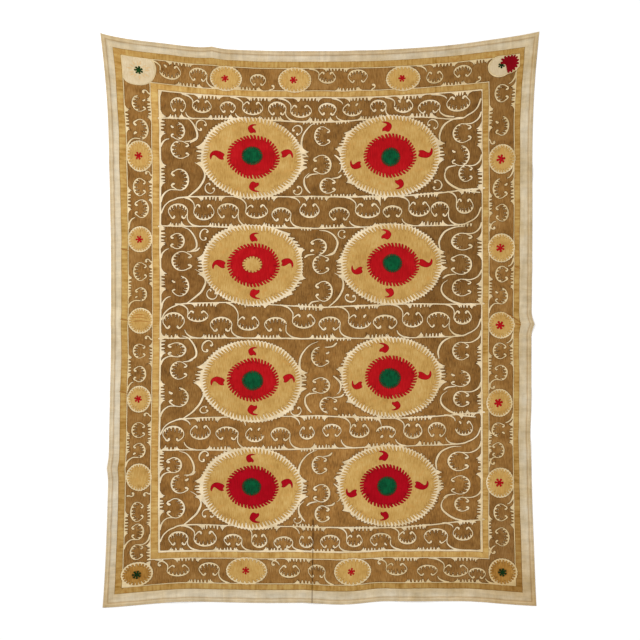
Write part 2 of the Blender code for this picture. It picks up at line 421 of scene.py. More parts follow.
def curved(points, steps=5):
    """A smooth line through a few points (Catmull-Rom)."""
    points = np.array(points, float)
    padded = np.vstack([2 * points[0] - points[1], points, 2 * points[-1] - points[-2]])
    found = []
    for a, b, c, d in zip(padded, padded[1:], padded[2:], padded[3:]):
        bend, twist = 2 * a - 5 * b + 4 * c - d, 3 * b - a - 3 * c + d
        for t in np.arange(steps) / steps:
            found.append(0.5 * (2 * b + (c - a) * t + bend * t**2 + twist * t**3))
    return np.array(found + [points[-1]])


def evenly(values, count):
    """So many values, read off evenly along a few."""
    return np.interp(np.linspace(0, 1, count), np.linspace(0, 1, len(values)), values)


def unit(along):
    """Ways along a line made one long, and the ways across them."""
    along = along / (np.linalg.norm(along, axis=1)[:, None] + 1e-12)
    return along, np.column_stack([-along[:, 1], along[:, 0]])


def stroke(thread, points, half_widths):
    """A line of varying width: half_widths are spread evenly along it."""
    points = np.array(points, float)
    along, across = unit(np.gradient(points, axis=0))
    half = evenly(half_widths, len(points))[:, None]
    caps = points[0] - along[0] * half[0], points[-1] + along[-1] * half[-1]
    left, right = points + across * half, points - across * half
    outline(thread, np.vstack([caps[0], right, caps[1], left[::-1]]))


def turned(points, centre, degrees):
    """Points drawn round a centre, turned anticlockwise."""
    c, s = math.cos(math.radians(degrees)), math.sin(math.radians(degrees))
    x, y = np.array(points, float).T
    return np.column_stack([x * c - y * s, x * s + y * c]) + centre


def beside(points, off):
    """Points at a distance to one side of a closed line."""
    return points + unit(np.roll(points, -1, axis=0) - np.roll(points, 1, axis=0))[1] * off


# The long wedge at each end of a comb, in mm from its foot, and how far apart the comb's teeth are.
WEDGE = ((24, -2), (15, 1.5), (7, 6), (2, 12), (-1, 18), (-4, 8), (-7, -2))
TEETH_APART = 0.0130


def comb(centre, turn, edge, start, end, tall, wedges=(True, True)):
    """Bare teeth on the line that a scroll opens to, from start to end, with a long wedge at each end."""
    count = max(2, round((end - start) / TEETH_APART))
    for k in range(count):
        s = start + (end - start) * (k + 0.5) / count + hand.uniform(-0.0015, 0.0015)
        slope = (edge(s + 0.002) - edge(s - 0.002)) / 0.004
        half, top = hand.uniform(0.0044, 0.0056), tall * hand.uniform(0.8, 1.2) / math.hypot(1, slope)
        lean, foot = s + hand.uniform(-0.002, 0.002), edge(s)
        tooth = [(s - half, foot - 0.003), (s + half, foot - 0.003)]
        tooth += [(lean + 0.0017, foot + top), (lean - 0.0017, foot + top)]
        outline("bare", turned(tooth, centre, turn))
    for place, way, wanted in ((start, -1, wedges[0]), (end, 1, wedges[1])):
        if wanted:
            size = tall / 0.013 * hand.uniform(0.85, 1.15) / 1000
            leaf = [(place + way * size * x, size * y) for x, y in WEDGE]
            outline("bare", turned([(x, edge(x) + y) for x, y in leaf], centre, turn))


# The curl at each end of a hook, in shares of its half width and half height, from the
# tip to the back, and the half widths of the line from one tip to the other, in mm.
TIGHT_CURL = ((0.40, -0.66), (0.42, -0.80), (0.54, -0.93), (0.68, -0.86))
OPEN_CURL = ((0.50, -0.42), (0.52, -0.55), (0.63, -0.66), (0.78, -0.62))
HOOK_WIDTHS = (4.6, 4.8, 3.0, 2.1, 1.8, 2.0, 2.5, 3.1, 3.5, 3.5, 3.1, 2.5, 2.0, 1.8, 2.0, 2.8, 4.4, 4.2)


def hook(u, v, wide, high, turn, teeth, bold):
    """A hook, drawn as if it opens downwards and then turned. A toothless one is more open."""
    centre = (u, v)
    reach, curl = (38, TIGHT_CURL) if teeth else (22, OPEN_CURL)
    angles = np.radians(np.linspace(180 + reach, -reach, 18))
    back = np.column_stack([np.cos(angles) * wide, np.sin(angles) * high])
    tip = np.array(curl) * (wide, high)
    line = np.vstack([tip * (-1, 1), back, tip[::-1] * (hand.uniform(0.85, 1.1), 1)])
    half = evenly(HOOK_WIDTHS, len(line)) / 1000
    half *= bold * hand.uniform(0.75, 1.02) * min(1, 0.45 + wide / 0.055)
    # Some hooks have a gap in their line, near one tip or the other.
    chance = hand.random() if teeth else 1
    spans = [(0, len(line))]
    if chance < 0.08:
        spans = [(0, 3), (7, len(line))]
    elif chance < 0.16:
        spans = [(0, 19), (23, len(line))]
    for start, end in spans:
        stroke("bare", turned(line[start:end], centre, turn), half[start:end])
    for k in range(teeth):
        angle = math.radians(148 - 116 * k / (teeth - 1) + hand.uniform(-4, 4))
        root = np.array([math.cos(angle) * wide, math.sin(angle) * high])
        side = np.array([-math.sin(angle) * wide, math.cos(angle) * high])
        side *= hand.uniform(0.0050, 0.0062) / np.linalg.norm(side)
        inward = np.array([-math.cos(angle) * 0.45, -1.0])
        inward *= min(hand.uniform(0.0140, 0.0180), 0.62 * high) / np.linalg.norm(inward)
        point = root + inward
        tooth = [root + side, root - side, point + side * 0.30, point - side * 0.30]
        outline("bare", turned(tooth, centre, turn))


def scroll(u, v, wide, high, turn, edge, combed, tall, short=False, bold=1.0, vine=True):
    """A hooked scroll, the comb of teeth that it opens to, and its vine: a short one only turns aside."""
    hook(u, v, wide, high, turn, 5 if wide < 0.034 else 6, bold)
    comb((u, v), turn, edge, *combed, tall)
    if not vine:
        return
    reach, loop = -edge(wide), hand.uniform(2.0, 2.3) * wide
    if short:
        path, thin = [(0.99 * wide, -0.50 * high), (1.01 * wide, -0.90 * high)], 0.0012
        path += [(1.12 * wide, -1.40 * high), (1.40 * wide, -1.75 * high)]
    else:
        if hand.random() < 0.7:
            path, thin = [(0.97 * wide, -0.10 * high), (0.95 * wide, -0.43 * reach)], 0.0018
            path += [(1.08 * wide, -0.64 * reach)]
        else:
            path, thin = [(1.02 * wide, -0.52 * reach), (1.12 * wide, -0.68 * reach)], 0.0015
        path += [(s * wide, edge(s * wide) + low * reach) for s, low in ((1.36, 0.17), (1.72, 0.05))]
        path += [(loop, edge(loop))]
    half_widths = [thin, 0.0020, 0.0024, 0.0030, 0.0036, 0.0024]
    stroke("bare", turned(curved(path), (u, v), turn), half_widths)


def level(reach):
    """A straight line at a distance below a scroll, for its comb to stand on."""
    return lambda s: -reach


def edge_at(line, u):
    return float(np.interp(u, [p[0] for p in line], [p[1] for p in line]))


def nested(thread, insets):
    """A frame's outer line, so far in from each side."""
    far = {name: side.place + side.inward * insets[name] for name, side in SIDES.items()}
    meeting = (("left", "bottom"), ("right", "bottom"), ("right", "top"), ("left", "top"))
    corners = [(far[x], far[y]) for x, y in meeting]
    points = []
    for (ax, ay), (bx, by) in zip(corners, corners[1:] + corners[:1]):
        points += [(ax + (bx - ax) * k / 150, ay + (by - ay) * k / 150) for k in range(150)]
    outline(thread, points)


LINE = 0.0032  # the bare line that is left beside each gold band
for thread, step in (
    ("edging", lambda s: s.plain),
    ("bare", lambda s: s.plain + s.outer_band),
    ("tan", lambda s: s.plain + s.outer_band + LINE),
    ("bare", lambda s: s.plain + s.outer_band + s.scrolls - LINE),
    ("band", lambda s: s.plain + s.outer_band + s.scrolls),
    ("bare", lambda s: s.plain + s.outer_band + s.scrolls + s.inner_band),
):
    nested(thread, {name: step(side) for name, side in SIDES.items()})

# The five rows of scrolls across the field: the lines above and below each, and its scrolls from
# left to right (place across, height, half width, half height, in mm), opening down and up in turn.
Row = namedtuple("Row", "above below scrolls")
ROWS = (
    Row(
        ((-617, 884), (1, 884), (633, 884)),
        ((-618, 785), (-319, 799), (1, 790), (321, 804), (632, 789)),
        (
            (-566, 839, 29, 27), (-472, 842, 38, 24), (-368, 843, 30, 21), (-269, 844, 41, 26),
            (-170, 843, 35, 26), (-75, 834, 42, 24), (31, 840, 34, 23), (130, 839, 38, 24),
            (234, 851, 31, 22), (334, 847, 37, 24), (437, 837, 44, 25), (554, 843, 47, 28),
        ),
    ),
    Row(
        ((-619, 486), (-319, 492), (1, 492), (321, 493), (632, 517)),
        ((-619, 374), (-319, 370), (1, 366), (321, 374), (632, 382)),
        (
            (-567, 431, 38, 29), (-463, 429, 41, 31), (-366, 434, 42, 29), (-252, 433, 44, 26),
            (-153, 420, 38, 26), (-41, 437, 39, 27), (78, 422, 39, 25), (191, 436, 49, 28),
            (291, 432, 37, 22), (397, 442, 41, 28), (480, 439, 36, 28), (579, 452, 34, 27),
        ),
    ),
    Row(
        ((-619, 62), (-319, 68), (1, 50), (321, 62), (632, 62)),
        ((-619, -74), (-319, -74), (1, -76), (321, -73), (633, -62)),
        (
            (-585, -5, 43, 32), (-488, 14, 41, 21), (-394, -20, 43, 28), (-286, -14, 43, 27),
            (-177, -20, 44, 27), (-64, -5, 45, 27), (39, -17, 42, 26), (158, -7, 45, 27),
            (260, -10, 47, 26), (370, 1, 41, 29), (474, -2, 45, 30), (571, 10, 35, 26),
        ),
    ),
    Row(
        ((-616, -398), (-319, -388), (1, -386), (321, -394), (633, -372)),
        ((-615, -522), (-319, -521), (1, -516), (321, -506), (633, -494)),
        (
            (-583, -457, 41, 29), (-478, -450, 39, 27), (-371, -455, 45, 25), (-260, -460, 36, 28),
            (-157, -458, 38, 26), (-51, -453, 29, 24), (48, -443, 37, 24), (158, -444, 38, 26),
            (264, -450, 38, 22), (372, -445, 36, 29), (468, -440, 35, 28), (577, -433, 35, 28),
        ),
    ),
    Row(
        ((-615, -822), (-319, -823), (1, -828), (321, -830), (633, -800)),
        ((-615, -921), (1, -921), (633, -921)),
        (
            (-563, -873, 38, 26), (-458, -874, 44, 29), (-346, -879, 36, 21), (-242, -881, 30, 25),
            (-146, -889, 38, 21), (-54, -885, 27, 22), (41, -883, 38, 24), (138, -879, 32, 22),
            (244, -879, 42, 24), (350, -871, 34, 24), (464, -866, 48, 29), (573, -855, 39, 26),
        ),
    ),
)
FIELD_LEFT, FIELD_RIGHT = -0.634, 0.648


def metres(*numbers):
    return [number / 1000 for number in numbers]


field = [(FIELD_LEFT, y) for y in np.linspace(-0.918, 0.864, 120)]
field += [metres(x, 885) for x in range(-628, 650, 12)]
field += [(FIELD_RIGHT - 0.006 * k / 120, y) for k, y in enumerate(np.linspace(0.880, -0.916, 120))]
field += [metres(x, -919) for x in range(628, -626, -12)]
outline("brown", field)

for number, row in enumerate(ROWS):
    for k, line in enumerate((row.above, row.below)):
        if (number, k) in ((0, 0), (4, 1)):
            continue
        # The upper line drops away at its left end, and the lower one rises at its right end.
        start, end = line[0][1], line[-1][1]
        if k == 0:
            dropping = ((-634, start - 62), (-617, start - 30), (-585, start - 9), (-530, start + 2))
            line = (*dropping, *line[1:], (643, end + 4))
        else:
            rising = ((540, end - 4), (595, end + 8), (628, end + 30), (644, end + 64))
            line = ((-632, start - 6), *line[:-1], *rising)
        path = curved([metres(*place) for place in line], 14)
        stroke("bare", path, [0.0030, 0.0022, 0.0030, 0.0018, 0.0028, 0.0024, 0.0032])
    for k, (u, v, wide, high) in enumerate(row.scrolls):
        line = row.above if k % 2 else row.below
        combed = {0: (-0.030, 0.014), 11: (-0.038, 0.012)}.get(k, (-0.070, 0.012))
        tall = 0.0105 if (number, k % 2) in ((0, 1), (4, 0)) else 0.0135
        way = -1 if k % 2 else 1
        along = lambda s: way * (edge_at(line, u + 1000 * way * s) - v) / 1000
        scroll(*metres(u, v, wide, high), 180 * (k % 2), along, combed, tall)

# Where a row's line has teeth on its other side too: the
# row, its line (0 above, 1 below), and from where to where.
DOUBLED = (
    (0, 1, -70, 25), (0, 1, 60, 120), (1, 0, 40, 140), (1, 1, -80, -30), (2, 0, -90, 5), (2, 1, 20, 130),
    (3, 0, 70, 140), (3, 1, -80, -20), (4, 0, -110, -10), (1, 1, 550, 610), (3, 0, 530, 590),
)
for number, k, start, end in DOUBLED:
    line = ROWS[number].below if k else ROWS[number].above
    u, wide, way = (start + end) / 2000, (end - start) / 2000, -1 if k else 1
    v = edge_at(line, 1000 * u)
    along = lambda s: way * (edge_at(line, 1000 * (u + way * s)) - v) / 1000
    comb((u, v / 1000), 180 * k, along, -wide, wide, 0.0105, (False, k == 0))

# The eight large rosettes: the middle of each, and of its red disc, in mm, the widths of
# the bare ring round it and how far that ring's edge pokes into the brown, anticlockwise
# from the right, every 45 degrees, and the place on its disc and the size of its heart.
Large = namedtuple("Large", "u v disc_u disc_v gaps toothed heart")
LARGE = (
    Large(-272, 647, -267, 649, (11, 5, 4, 11, 10, 6, 7, 14), (4, 2, 3, 5, 3, 3, 4, 3), (-4, 5, 41, 36)),
    Large(281, 652, 281, 652, (6, 5, 5, 7, 5, 7, 5, 10), (3, 5, 3, 5, 6, 5, 4, 5), (3, -5, 37, 36)),
    Large(-269, 219, -265, 218, (8, 4, 5, 15, 8, 6, 8, 12), (3, 5, 3, 5, 3, 3, 3, 3), (-5, 2, 40, 33)),
    Large(287, 222, 293, 220, (7, 7, 6, 12, 9, 8, 7, 7), (3, 5, 3, 5, 6, 5, 4, 5), (-3, 6, 38, 36)),
    Large(-272, -245, -267, -242, (6, 6, 5, 12, 13, 7, 10, 17), (3, 3, 3, 5, 3, 3, 3, 3), (-2, -2, 42, 38)),
    Large(285, -230, 285, -230, (7, 7, 5, 10, 4, 4, 5, 6), (3, 5, 3, 5, 6, 5, 4, 5), (-4, -5, 43, 40)),
    Large(-270, -674, -271, -670, (8, 6, 8, 16, 14, 6, 9, 13), (3, 3, 3, 5, 3, 3, 3, 3), (-2, 2, 37, 34)),
    Large(276, -664, 265, -666, (6, 6, 7, 7, 8, 9, 5, 8), (7, 5, 4, 5, 7, 5, 5, 6), (4, 0, 38, 38)),
)
ROSETTE_WIDE, ROSETTE_HIGH = 0.192, 0.154  # the half width and half height of a large rosette


def ring_edge(big, u, v, turn):
    """The line of a rosette's bare ring, for the comb of an upright scroll to stand on."""
    gap = big.gaps[4 if turn > 0 else 0] / 1000
    way = 1 if turn > 0 else -1

    def edge(s):
        up = min(abs(v + way * s - big.v / 1000) / (ROSETTE_HIGH + gap), 0.98)
        side = big.u / 1000 - way * (ROSETTE_WIDE + gap) * math.sqrt(1 - up**2)
        return -abs(side - u)

    return edge


# The scrolls between and beside the rosettes, from top to bottom, three for each row of rosettes: the
# place, half width and half height of each, and whether it opens to the left (-90) or to the right (90).
UPRIGHT = (
    (-568, 740, 32, 27, -90), (-558, 669, 33, 36, 90), (-560, 554, 40, 35, -90), (-570, 314, 31, 27, -90),
    (-550, 234, 38, 40, 90), (-558, 134, 40, 34, -90), (-572, -120, 28, 36, -90),
    (-562, -202, 35, 33, 90), (-564, -310, 38, 38, -90), (-580, -583, 30, 28, -90),
    (-556, -657, 35, 34, 90), (-574, -753, 39, 34, -90), (11, 733, 38, 30, 90), (9, 619, 37, 35, -90),
    (32, 536, 30, 30, 90), (-6, 292, 31, 31, -90), (6, 221, 36, 32, 90), (15, 114, 40, 33, -90),
    (3, -148, 39, 36, 90), (5, -264, 31, 34, -90), (36, -342, 32, 34, 90), (-1, -582, 35, 29, 90),
    (7, -695, 35, 33, -90), (11, -776, 31, 28, 90), (570, 729, 36, 37, 90), (562, 643, 38, 34, -90),
    (583, 575, 31, 26, 90), (569, 312, 34, 41, 90), (564, 220, 39, 41, -90), (568, 128, 34, 38, 90),
    (564, -125, 36, 32, 90), (563, -236, 32, 38, -90), (566, -317, 30, 31, 90), (555, -567, 37, 41, 90),
    (562, -661, 37, 38, -90), (568, -738, 28, 28, 90),
)
# The scrolls that have no vine. In the border a tendril grows in its place.
VINELESS = {
    (-713, 829), (-720, 521), (-719, 192), (-722, -126), (-719, -442), (-720, -762), (727, 744),
    (-247, 957), (151, 971), (572, 966), (11, 733),
}
for u, v, wide, high, turn in UPRIGHT:
    to_band = abs(u) > 400 and u * turn > 0
    if to_band:
        edge = level(u / 1000 - FIELD_LEFT if u < 0 else FIELD_RIGHT - 0.003 - u / 1000)
    else:
        way = 1 if turn > 0 else -1
        facing = [big for big in LARGE if (big.u - u) * way > 0]
        nearest = min(facing, key=lambda big: abs(big.u - u) + abs(big.v - v))
        edge = ring_edge(nearest, u / 1000, v / 1000, turn)
    tall = 0.0145 if to_band else 0.0190
    vine = (u, v) not in VINELESS
    scroll(*metres(u, v, wide, high), turn, edge, (-0.052, 0.014), tall, not to_band, 1.0, vine)

# The crescent lines behind the upright scrolls' backs, in mm from the scroll's middle.
Crescent = namedtuple("Crescent", "scrolls points")
CRESCENTS = (
    Crescent((0, 3, 6, 9), ((20, 56), (45, 47), (66, 24), (78, -6), (74, -28), (50, -43))),
    Crescent((2, 5, 11), ((60, 68), (84, 52), (99, 30), (100, 10), (84, -22), (56, -48), (24, -72))),
    Crescent((8,), ((60, 68), (84, 52), (99, 30), (100, 10), (84, -26), (56, -58), (18, -86))),
    Crescent((12, 18, 21), ((-10, 60), (-45, 44), (-74, 10), (-84, -28), (-78, -61), (-58, -83))),
    Crescent((13, 19, 22), ((63, -34), (75, -21), (79, 6), (68, 23), (50, 38))),
    Crescent((14, 20, 23), ((-74, 50), (-92, 32), (-94, 8), (-84, -14), (-70, -30))),
    Crescent((15,), ((4, 66), (34, 62), (61, 45), (77, 15), (65, -20), (40, -34))),
    Crescent((17,), ((44, 72), (67, 58), (79, 36), (76, 4), (55, -32), (19, -63))),
    Crescent((24, 27, 30, 33), ((10, 60), (-30, 58), (-70, 38), (-90, 1), (-88, -30))),
    Crescent(
        (26, 29, 32, 35),
        ((-56, 32), (-76, 16), (-83, -6), (-74, -28), (-46, -50), (-8, -64), (56, -72)),
    ),
)
for crescent in CRESCENTS:
    for k in crescent.scrolls:
        u, v = UPRIGHT[k][:2]
        path = [metres(u + x, v + y) for x, y in crescent.points]
        stroke("bare", curved(path, 6), [0.0008, 0.0022, 0.0032, 0.0040, 0.0036, 0.0020])

# Small hooks fill the corners between the rosettes' rings
# and the rows: place, half width, half height, and turn.
SMALL_HOOKS = (
    (-474, 767, 21, 20, 45), (-90, 757, 18, 20, -45), (-439, 522, 20, 19, 135), (-88, 517, 18, 16, 225),
    (-461, 340, 22, 17, 75), (-432, 102, 21, 20, 150), (-450, -106, 24, 19, 50),
    (-462, -360, 13, 18, 110), (-464, -547, 22, 17, 55), (-445, -777, 23, 19, 0), (453, 768, 21, 18, -30),
    (469, 534, 19, 19, -100), (89, 341, 16, 16, 90), (122, 86, 21, 16, 170), (-96, -364, 21, 18, 190),
    (-87, -800, 16, 14, 200),
)
for u, v, wide, high, turn in SMALL_HOOKS:
    hook(*metres(u, v, wide, high), turn, 0, 1.15)

# The border's scrolls. They open across it in turn, and its small rosettes part them.
BORDER_SIDES = {
    "left": (
        (-713, 829, 30, 24), (-711, 733, 36, 27), (-720, 521, 32, 24), (-712, 440, 34, 27),
        (-719, 192, 36, 26), (-716, 102, 26, 22), (-722, -126, 28, 24), (-719, -218, 31, 24),
        (-719, -442, 30, 26), (-715, -524, 29, 23), (-720, -762, 37, 24), (-717, -839, 30, 22),
        (-718, -917, 29, 23),
    ),
    "right": (
        (723, 866, 33, 25), (727, 744, 34, 25), (720, 515, 36, 28), (726, 424, 32, 24),
        (726, 182, 31, 24), (725, 95, 32, 24), (721, -125, 31, 26), (724, -212, 30, 24),
        (714, -440, 27, 26), (714, -522, 30, 23), (723, -767, 33, 26), (727, -862, 35, 25),
    ),
}
BORDER_ENDS = (
    (-596, 963, 39, 26, 180), (-486, 964, 35, 25, 0), (-247, 957, 30, 22, 0), (29, 968, 34, 22, 180),
    (151, 971, 38, 25, 0), (460, 953, 32, 23, 180), (572, 966, 35, 22, 0), (-564, -1000, 43, 22, 180),
    (-442, -996, 40, 25, 0), (-122, -1001, 40, 23, 180), (-13, -999, 34, 24, 0), (307, -996, 42, 23, 180),
    (430, -1003, 41, 20, 0), (544, -1003, 48, 23, 180), (629, -1013, 33, 20, 0),
)


def scroll_edges(side):
    """The lower and the higher edge of a side's stitched border of scrolls."""
    near = side.plain + side.outer_band
    return sorted(side.place + side.inward * step for step in (near + LINE, near + side.scrolls - LINE))


for name, scrolls in BORDER_SIDES.items():
    inner, outer = scroll_edges(SIDES[name])
    for k, (u, v, wide, high) in enumerate(scrolls):
        turn, line, combed = (-90, inner, (-0.068, 0.004)) if k % 2 else (90, outer, (-0.050, 0.022))
        vine = (u, v) not in VINELESS
        reach = abs(line - u / 1000)
        scroll(*metres(u, v, wide, high), turn, level(reach), combed, 0.0105, False, 0.88, vine)
for u, v, wide, high, turn in BORDER_ENDS:
    low, tall = scroll_edges(SIDES["top" if v > 0 else "bottom"])
    reach = abs((tall if turn else low) - v / 1000)
    vine = (u, v) not in VINELESS
    scroll(*metres(u, v, wide, high), turn, level(reach), (-0.078, 0.004), 0.0105, False, 0.88, vine)
# Beside the upper right corner the outer line has a short comb of its own.
comb((0.642, TOP - 0.071), 180, level(0.0), -0.026, 0.026, 0.0125)

# A tendril as it is drawn curling to the right, in shares of its size from its middle.
TENDRIL = ((-0.05, -0.52), (-0.45, -0.36), (-0.54, 0.18), (-0.12, 0.60), (0.50, 0.70), (1.00, 1.05))


def tendril(u, v, size, turn):
    """A little curl with a round end, its stem running back to the line that it springs from."""
    path = curved([(x * size, y * size) for x, y in TENDRIL], 4)
    half_widths = [0.0048, 0.0040, 0.0026, 0.0021, 0.0022, 0.0026, 0.0034]
    stroke("bare", turned(path, (u, v), turn), half_widths)


# The tendrils between the border's scrolls and rosettes:
# place, size, and the way the stem points (0 to the right).
TENDRILS = (
    (-688, 876, 12, -65), (-688, 573, 12, -75), (-689, 234, 12, -60), (-689, -73, 12, -70),
    (-689, -381, 13, -65), (-688, -696, 12, -40), (-742, -696, 12, 150), (690, 688, 12, 95),
    (690, 369, 12, 85), (690, -268, 13, 90), (691, -571, 12, 80), (691, -921, 13, 90),
    (-190, 928, 12, 180), (213, 930, 12, 200), (637, 930, 12, 185), (-634, -970, 12, 10),
    (-184, -969, 12, 15), (240, -968, 12, 5),
)
for u, v, size, turn in TENDRILS:
    tendril(*metres(u, v, size), turn)

# --- The rosettes ---------------------------------------------------------------------------------------
# Eight large gold rosettes fill the field. Each stands in a ring of bare cotton, has a fine toothed rim, a
# red disc with long teeth round a green heart, and four red commas. Small ones part the border's scrolls.


def rosette(thread, u, v, wide, high, teeth, length, share, slant=0.0, uneven=0.02):
    """A toothed disc. Share is how much of the pitch a tooth covers, and slant turns the teeth's feet."""
    points = []
    phase = hand.uniform(0, 1)
    notch = (1 - share) / 2
    for k in range(teeth):
        deep = length * hand.uniform(0.7, 1.2)
        shift = hand.uniform(-0.06, 0.06)
        tooth = [(0.06, deep), (notch, 0.0014), (0.5 + hand.uniform(-0.1, 0.1), 0)]
        tooth += [(1 - notch, 0.0014), (0.94, deep)]
        for part, cut_in in tooth:
            angle = 2 * math.pi * (k + phase + part + shift + (0 if cut_in == deep else slant)) / teeth
            size = 1 + uneven * noise.noise((u * 9 + 2 * math.cos(angle), v * 9 + 2 * math.sin(angle), 5))
            across, up = wide * size - cut_in, high * size - cut_in
            points.append((u + math.cos(angle) * across, v + math.sin(angle) * up))
    outline(thread, points)


def ring(u, v, wide, high, gaps, toothed):
    """A rosette's bare ring, as wide as gaps, with teeth as long as toothed, in mm, every 45 degrees."""
    points = []
    count = 180 if wide > 0.1 else 60
    around = np.arange(0, 361, 45)
    for k in range(count):
        angle = 2 * math.pi * k / count
        gap = np.interp(math.degrees(angle), around, gaps + gaps[:1])
        poke = np.interp(math.degrees(angle), around, toothed + toothed[:1])
        gap += poke * (1.8 if k % 2 else -0.3) * hand.uniform(0.5, 1.1)
        across, up = wide + gap / 1000, high + gap / 1000
        points.append((u + math.cos(angle) * across, v + math.sin(angle) * up))
    outline("bare", points)


# A comma as it is drawn pointing to the right, in mm from
# its base: forked at the base, its tail curled down.
COMMA = (
    (1, -12), (5, -4), (1, 7), (9, 14), (22, 18), (35, 18), (46, 11), (52, 0), (52, -13), (47, -20),
    (45, -13), (42, -4), (36, -2), (28, -7), (19, -13), (9, -15),
)


def comma(thread, u, v, heading, flip, long, wide):
    points = curved([(x * long, y * wide * flip) for x, y in COMMA + COMMA[:1]], 3)[:-1] / 1000
    outline(thread, turned(points, (u, v), heading))


# The four commas of a rosette, to the right, left, top and bottom of its
# disc: the way each points, the side that it bulges to, its length and its
# width. Left rosettes have drooping tails, right ones have rising tails.
Comma = namedtuple("Comma", "heading flip long wide")
COMMAS = (
    (
        Comma(2, 1, 0.92, 0.98), Comma(176, -1, 1.10, 1.0),
        Comma(92, 1, 0.70, 0.95), Comma(-96, -1, 0.76, 1.15),
    ),
    (
        Comma(0, -1, 1.12, 0.95), Comma(184, 1, 0.86, 0.95),
        Comma(80, -1, 0.76, 1.10), Comma(-82, 1, 0.72, 1.0),
    ),
)
# Where the base of each comma is on each rosette, in mm from the disc's middle.
BASES = (
    ((110, 12), (-113, 0), (-2, 94), (8, -97)), ((111, 5), (-114, -34), (-17, 95), (33, -93)),
    ((110, 10), (-110, 2), (2, 92), (9, -95)), ((102, 9), (-121, -22), (-32, 100), (-17, -92)),
    ((120, 5), (-113, -8), (-2, 96), (2, -99)), ((106, 7), (-115, -31), (-32, 96), (18, -96)),
    ((116, 14), (-110, -3), (-6, 98), (12, -101)), ((113, 6), (-114, -28), (-14, 100), (-8, -100)),
)
DISC_WIDE, DISC_HIGH = 0.106, 0.088  # and of its red disc
for number, big in enumerate(LARGE):
    u, v, disc_u, disc_v = metres(big.u, big.v, big.disc_u, big.disc_v)
    red = "crimson" if number > 5 else "red"
    ring(u, v, ROSETTE_WIDE, ROSETTE_HIGH, big.gaps, big.toothed)
    rosette("gold", u, v, ROSETTE_WIDE + 0.004, ROSETTE_HIGH + 0.004, 84, 0.0185, 0.36, 0.3)
    rosette(red, disc_u, disc_v, DISC_WIDE, DISC_HIGH, 44, 0.0145, 0.58, 0.35, 0.03)
    for mark, (base_u, base_v) in zip(COMMAS[number % 2], BASES[number]):
        lie = hand.uniform(-5, 5)
        place = disc_u + base_u / 1000, disc_v + base_v / 1000
        comma(red, *place, mark.heading + lie, mark.flip, mark.long * hand.uniform(0.95, 1.05), mark.wide)
    heart_u, heart_v, wide, high = metres(*big.heart)
    if number == 2:
        rosette("gold", disc_u + heart_u, disc_v + heart_v, wide, high, 17, 0.0100, 0.60, 0.1)
    else:
        rosette("green", disc_u + heart_u, disc_v + heart_v, wide + 0.002, high + 0.002, 30, 0.0080, 0.56)

# The small rosettes of the border: the place, half width and half height of each, in mm, and which of
# them have no red star at their heart.
SMALL = (
    (-375, 957, 60, 46), (-100, 958, 62, 46), (333, 956, 65, 46), (-292, -1000, 78, 49),
    (131, -1000, 69, 49), (-717, 635, 46, 53), (-719, 321, 45, 47), (-717, -4, 45, 47),
    (-719, -318, 42, 49), (-715, -629, 45, 49), (726, 623, 48, 50), (724, 287, 49, 54),
    (724, -22, 48, 49), (718, -333, 48, 51), (720, -651, 51, 55),
)
PLAIN_HEARTS = (7, 9)


def star(thread, u, v, size, arms):
    rosette(thread, u, v, size, size, arms, size * 0.56, 0.60, 0.0, 0.08)


for k, (u, v, wide, high) in enumerate(SMALL):
    u, v, wide, high = metres(u, v, wide, high)
    ring(u, v, wide, high, (4,) * 8, (1,) * 8)
    rosette("gold", u, v, wide, high, 26, 0.0095, 0.60, 0.1)
    if k not in PLAIN_HEARTS:
        star("red", u - 0.004, v, 0.0155 if u < 0.5 else 0.0180, 6)

# Darker marks where the folds lie: short dark marks across the side bands,
# orange streaks on a plain rosette of the left border, and one long line across the right border.
MARKS = (
    ((-797, 284), (-781, 281), (-765, 277)), ((-797, 2), (-781, 0), (-765, -4)),
    ((-797, -287), (-781, -290), (-765, -296)), ((798, -21), (786, -18), (774, -12)),
    ((799, 204), (787, 209), (776, 212)), ((741, 28), (770, 12), (799, -12)),
    ((-752, 6), (-722, 10), (-690, 4)), ((-748, -8), (-716, -5), (-676, -10)),
    ((-742, 18), (-724, 20), (-700, 19)),
)
for mark in MARKS:
    stroke("fold_mark", curved([metres(*place) for place in mark], 4), [0.0006, 0.0017, 0.0020, 0.0014, 0.0006])
# The third seam's pale sewing thread shows in the plain border at the bottom.
SEWING = ((404, -1121), (405, -1099), (406, -1078))
stroke("pale", curved([metres(*place) for place in SEWING], 4), [0.0010, 0.0014, 0.0010])

# The corners, in mm: two gold rosettes below, a pale one with a rounded side at the upper left, and a pale
# disc behind a ragged red fan at the upper right. Each stands in bare cotton and has a dark green star.
ROUNDED = (
    (-765, 1008), (-717, 1007), (-668, 1006), (-652, 996), (-643, 974), (-646, 944), (-664, 912),
    (-698, 896), (-738, 896), (-763, 910), (-767, 950), (-765, 1008),
)


def about(points, u, v, share):
    """Points in mm, drawn towards a place, in metres."""
    return [((u + (x - u) * share) / 1000, (v + (y - v) * share) / 1000) for x, y in points]


